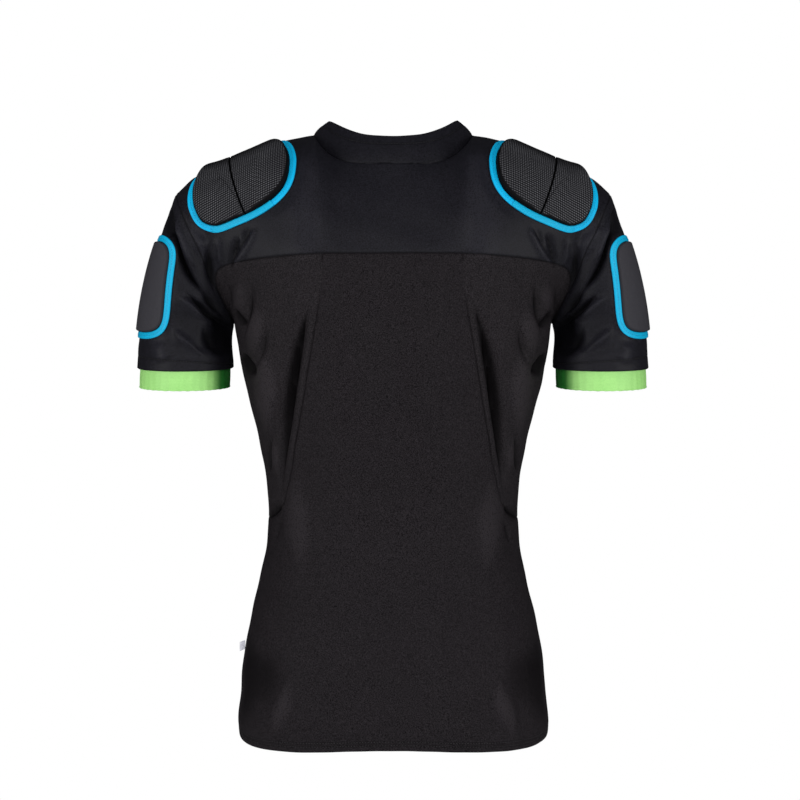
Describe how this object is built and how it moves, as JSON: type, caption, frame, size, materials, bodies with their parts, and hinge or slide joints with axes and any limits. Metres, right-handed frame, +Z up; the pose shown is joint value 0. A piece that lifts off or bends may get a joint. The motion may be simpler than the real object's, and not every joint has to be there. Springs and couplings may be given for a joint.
{
  "type": "padded body armour top",
  "caption": "Close-fitting short-sleeved top in its worn, hollow form, with taped foam pads on the shoulders and upper arms, a stand collar and elastic sleeve cuffs.",
  "frame": {"origin": "on the centre line, midway between back and front, at the level of the neck points, where the wearer's shoulders carry the garment", "axes": "+Z up, from hem to collar; -Y is the way the wearer's back faces, +Y the wearer's front; +X towards the wearer's right arm"},
  "size_m": [0.589, 0.237, 0.7067],
  "materials": {
    "smooth_cloth": "smooth black stretch cloth with a slight sheen",
    "body_cloth": "matte black knitted stretch cloth",
    "pad_cloth": "dark grey ribbed mesh over foam",
    "binding_tape": "bright blue flat tape",
    "cuff_elastic": "light green woven elastic",
    "label_tape": "white folded satin tape, blank"
  },
  "bodies": {
    "root": {"collar": "smooth_cloth", "yoke": "smooth_cloth", "sleeve_left": "smooth_cloth", "sleeve_right": "smooth_cloth", "back_panel": "body_cloth", "side_panel_left": "body_cloth", "side_panel_right": "body_cloth", "front_panel": "body_cloth", "shoulder_pad_inner_left": "pad_cloth", "shoulder_pad_inner_right": "pad_cloth", "shoulder_pad_outer_left": "pad_cloth", "shoulder_pad_outer_right": "pad_cloth", "bicep_pad_left": "pad_cloth", "bicep_pad_right": "pad_cloth", "shoulder_binding_left": "binding_tape", "shoulder_binding_right": "binding_tape", "bicep_binding_left": "binding_tape", "bicep_binding_right": "binding_tape", "cuff_left": "cuff_elastic", "cuff_right": "cuff_elastic", "side_label": "label_tape"}
  },
  "joints": []
}
